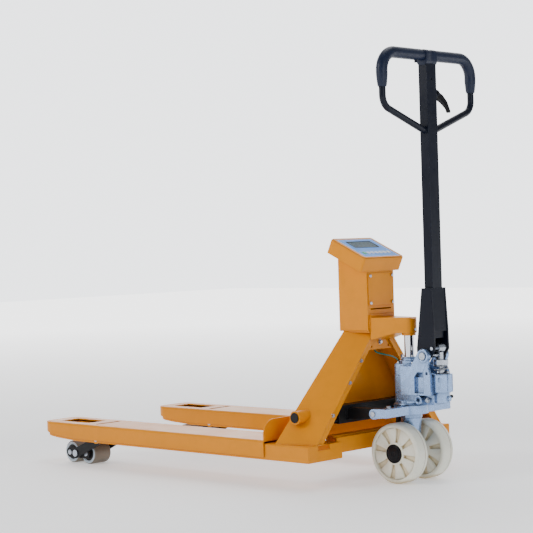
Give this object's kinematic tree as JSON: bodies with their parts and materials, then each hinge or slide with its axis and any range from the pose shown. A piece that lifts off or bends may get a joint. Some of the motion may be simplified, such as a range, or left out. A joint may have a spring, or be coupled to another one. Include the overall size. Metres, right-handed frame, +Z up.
{
  "type": "pallet scale truck",
  "caption": "Hand pallet truck whose forks carry weighing platforms, with a tilted weight indicator on the frame, hydraulic pump, steering wheels and loop handle.",
  "frame": {"origin": "middle of the overall box on the floor, truck part raised as in the rest pose", "axes": "+X from the fork tips towards the operator, +Y across the forks to the operator's right when facing the forks, +Z up"},
  "size_m": [1.485, 0.685, 1.279],
  "materials": {
    "frame_paint": "gloss powder coat",
    "ram_chrome": "polished",
    "bare_steel": "satin",
    "black_steel": "satin",
    "cable": "satin",
    "panel_film": "printed film",
    "display": "glossy",
    "key_green": "satin",
    "key_white": "satin",
    "roller_tread": "satin polyurethane",
    "pump_casting": "silver paint over casting",
    "spring_steel": "satin",
    "wheel_nylon": "satin moulded nylon",
    "black_plastic": "satin",
    "handle_paint": "satin powder coat",
    "grip_plastic": "satin"
  },
  "bodies": {
    "chassis": {"channel_l": "frame_paint", "channel_r": "frame_paint", "cross_member": "frame_paint", "bulkhead": "frame_paint", "yoke": "frame_paint", "ram": "ram_chrome", "platform_l": "frame_paint", "platform_r": "frame_paint", "load_cells": "bare_steel", "arm_pins": "bare_steel", "rocker_pins": "black_steel", "cell_cables": "cable", "column_shell": "frame_paint", "column_cover": "frame_paint", "head_shell": "frame_paint", "face_panel": "panel_film", "display": "display"},
    "rocker": {"rocker": "black_steel"},
    "push_rod_l": {"push_rod_l": "black_steel"},
    "push_rod_r": {"push_rod_r": "black_steel"},
    "arm_l": {"roller_arm_l": "black_steel"},
    "arm_r": {"roller_arm_r": "black_steel"},
    "bogie_pin_l": {"bogie_pin_l": "bare_steel"},
    "bogie_pin_r": {"bogie_pin_r": "bare_steel"},
    "bogie_l": {"bogie_l": "black_steel"},
    "bogie_r": {"bogie_r": "black_steel"},
    "roller_lf": {"roller_lf": "roller_tread"},
    "roller_lb": {"roller_lb": "roller_tread"},
    "roller_rf": {"roller_rf": "roller_tread"},
    "roller_rb": {"roller_rb": "roller_tread"},
    "thrust_base": {"thrust_plate": "pump_casting", "thrust_pins": "bare_steel"},
    "pump": {"pump_body": "pump_casting", "plunger_spring": "spring_steel", "steer_column": "pump_casting", "steer_axle": "bare_steel", "handle_pin": "bare_steel"},
    "plunger": {"plunger": "bare_steel"},
    "release_lever": {"release_lever": "black_steel"},
    "wheel_l": {"wheel_l": "wheel_nylon", "hub_cap_l": "black_plastic"},
    "wheel_r": {"wheel_r": "wheel_nylon", "hub_cap_r": "black_plastic"},
    "handle": {"handle_bracket": "handle_paint", "handle_roller": "bare_steel", "handle_post": "handle_paint", "handle_loop": "handle_paint", "grip_l": "grip_plastic", "grip_r": "grip_plastic"},
    "control_lever": {"control_lever": "black_plastic"},
    "key_1": {"key_1": "key_green"},
    "key_2": {"key_2": "key_white"},
    "key_3": {"key_3": "key_white"},
    "key_4": {"key_4": "key_white"},
    "key_5": {"key_5": "key_white"},
    "key_6": {"key_6": "key_white"},
    "key_7": {"key_7": "key_white"}
  },
  "joints": [
    {"name": "lift", "type": "slide", "parent": "chassis", "child": "thrust_base", "axis": [0, 0, -1], "range_m": [-0.055, 0.05]},
    {"name": "rocker_pivot", "type": "hinge", "parent": "chassis", "child": "rocker", "pos_m": [0.3925, 0, 0.207], "axis": [0, 1, 0], "range_deg": [-17.5, 16]},
    {"name": "push_rod_slide_l", "type": "slide", "parent": "chassis", "child": "push_rod_l", "axis": [-1, 0, 0], "range_m": [-0.0096, 0.0088]},
    {"name": "roller_arm_pivot_l", "type": "hinge", "parent": "chassis", "child": "arm_l", "pos_m": [-0.4675, -0.2625, 0.093], "axis": [0, -1, 0], "range_deg": [-26, 24]},
    {"name": "bogie_level_l", "type": "hinge", "parent": "arm_l", "child": "bogie_pin_l", "pos_m": [-0.59581, -0.2625, 0.037], "axis": [0, 1, 0], "range_deg": [-26, 24]},
    {"name": "bogie_rock_l", "type": "hinge", "parent": "bogie_pin_l", "child": "bogie_l", "pos_m": [-0.59581, -0.2625, 0.037], "axis": [0, 1, 0], "range_deg": [-6, 6]},
    {"name": "roller_spin_lf", "type": "hinge", "parent": "bogie_l", "child": "roller_lf", "pos_m": [-0.63681, -0.2625, 0.037], "axis": [0, 1, 0], "continuous": true},
    {"name": "roller_spin_lb", "type": "hinge", "parent": "bogie_l", "child": "roller_lb", "pos_m": [-0.55481, -0.2625, 0.037], "axis": [0, 1, 0], "continuous": true},
    {"name": "push_rod_slide_r", "type": "slide", "parent": "chassis", "child": "push_rod_r", "axis": [-1, 0, 0], "range_m": [-0.0096, 0.0088]},
    {"name": "roller_arm_pivot_r", "type": "hinge", "parent": "chassis", "child": "arm_r", "pos_m": [-0.4675, 0.2625, 0.093], "axis": [0, -1, 0], "range_deg": [-26, 24]},
    {"name": "bogie_level_r", "type": "hinge", "parent": "arm_r", "child": "bogie_pin_r", "pos_m": [-0.59581, 0.2625, 0.037], "axis": [0, 1, 0], "range_deg": [-26, 24]},
    {"name": "bogie_rock_r", "type": "hinge", "parent": "bogie_pin_r", "child": "bogie_r", "pos_m": [-0.59581, 0.2625, 0.037], "axis": [0, 1, 0], "range_deg": [-6, 6]},
    {"name": "roller_spin_rf", "type": "hinge", "parent": "bogie_r", "child": "roller_rf", "pos_m": [-0.63681, 0.2625, 0.037], "axis": [0, 1, 0], "continuous": true},
    {"name": "roller_spin_rb", "type": "hinge", "parent": "bogie_r", "child": "roller_rb", "pos_m": [-0.55481, 0.2625, 0.037], "axis": [0, 1, 0], "continuous": true},
    {"name": "steer", "type": "hinge", "parent": "thrust_base", "child": "pump", "pos_m": [0.5925, 0, 0.216], "axis": [0, 0, 1], "range_deg": [-85, 85]},
    {"name": "handle_tilt", "type": "hinge", "parent": "pump", "child": "handle", "pos_m": [0.6805, 0, 0.379], "axis": [0, 1, 0], "range_deg": [0, 80], "stiffness_Nm_per_rad": 60, "springref_deg": -8.59},
    {"name": "plunger_stroke", "type": "slide", "parent": "pump", "child": "plunger", "axis": [0, 0, -1], "range_m": [0, 0.0445], "deforming": ["plunger_spring"]},
    {"name": "control_lever_pivot", "type": "hinge", "parent": "handle", "child": "control_lever", "pos_m": [0.6895, 0.0355, 1.152], "axis": [1, 0, 0], "range_deg": [-12, 14], "stiffness_Nm_per_rad": 0.8},
    {"name": "release_lever_pivot", "type": "hinge", "parent": "pump", "child": "release_lever", "pos_m": [0.6845, 0.034, 0.248], "axis": [0, 1, 0], "range_deg": [-10, 12]},
    {"name": "wheel_spin_l", "type": "hinge", "parent": "pump", "child": "wheel_l", "pos_m": [0.5925, -0.062, 0.09], "axis": [0, 1, 0], "continuous": true},
    {"name": "wheel_spin_r", "type": "hinge", "parent": "pump", "child": "wheel_r", "pos_m": [0.5925, 0.062, 0.09], "axis": [0, 1, 0], "continuous": true},
    {"name": "key_1_press", "type": "slide", "parent": "chassis", "child": "key_1", "axis": [-0.4226, 0, -0.9063], "range_m": [0, 0.0009], "stiffness_N_per_m": 700, "springref_m": -0.001},
    {"name": "key_2_press", "type": "slide", "parent": "chassis", "child": "key_2", "axis": [-0.4226, 0, -0.9063], "range_m": [0, 0.0009], "stiffness_N_per_m": 700, "springref_m": -0.001},
    {"name": "key_3_press", "type": "slide", "parent": "chassis", "child": "key_3", "axis": [-0.4226, 0, -0.9063], "range_m": [0, 0.0009], "stiffness_N_per_m": 700, "springref_m": -0.001},
    {"name": "key_4_press", "type": "slide", "parent": "chassis", "child": "key_4", "axis": [-0.4226, 0, -0.9063], "range_m": [0, 0.0009], "stiffness_N_per_m": 700, "springref_m": -0.001},
    {"name": "key_5_press", "type": "slide", "parent": "chassis", "child": "key_5", "axis": [-0.4226, 0, -0.9063], "range_m": [0, 0.0009], "stiffness_N_per_m": 700, "springref_m": -0.001},
    {"name": "key_6_press", "type": "slide", "parent": "chassis", "child": "key_6", "axis": [-0.4226, 0, -0.9063], "range_m": [0, 0.0009], "stiffness_N_per_m": 700, "springref_m": -0.001},
    {"name": "key_7_press", "type": "slide", "parent": "chassis", "child": "key_7", "axis": [-0.4226, 0, -0.9063], "range_m": [0, 0.0009], "stiffness_N_per_m": 700, "springref_m": -0.001}
  ],
  "couplings": [
    {"joint": "rocker_pivot", "follows": "lift", "rad_per_m": 5.4},
    {"joint": "push_rod_slide_l", "follows": "lift", "ratio": 0.1695},
    {"joint": "roller_arm_pivot_l", "follows": "lift", "rad_per_m": 7.941},
    {"joint": "bogie_level_l", "follows": "lift", "rad_per_m": 7.941},
    {"joint": "push_rod_slide_r", "follows": "lift", "ratio": 0.1695},
    {"joint": "roller_arm_pivot_r", "follows": "lift", "rad_per_m": 7.941},
    {"joint": "bogie_level_r", "follows": "lift", "rad_per_m": 7.941},
    {"joint": "plunger_stroke", "follows": "handle_tilt", "m_per_rad": 0.0315},
    {"joint": "release_lever_pivot", "follows": "control_lever_pivot", "ratio": 0.8}
  ]
}
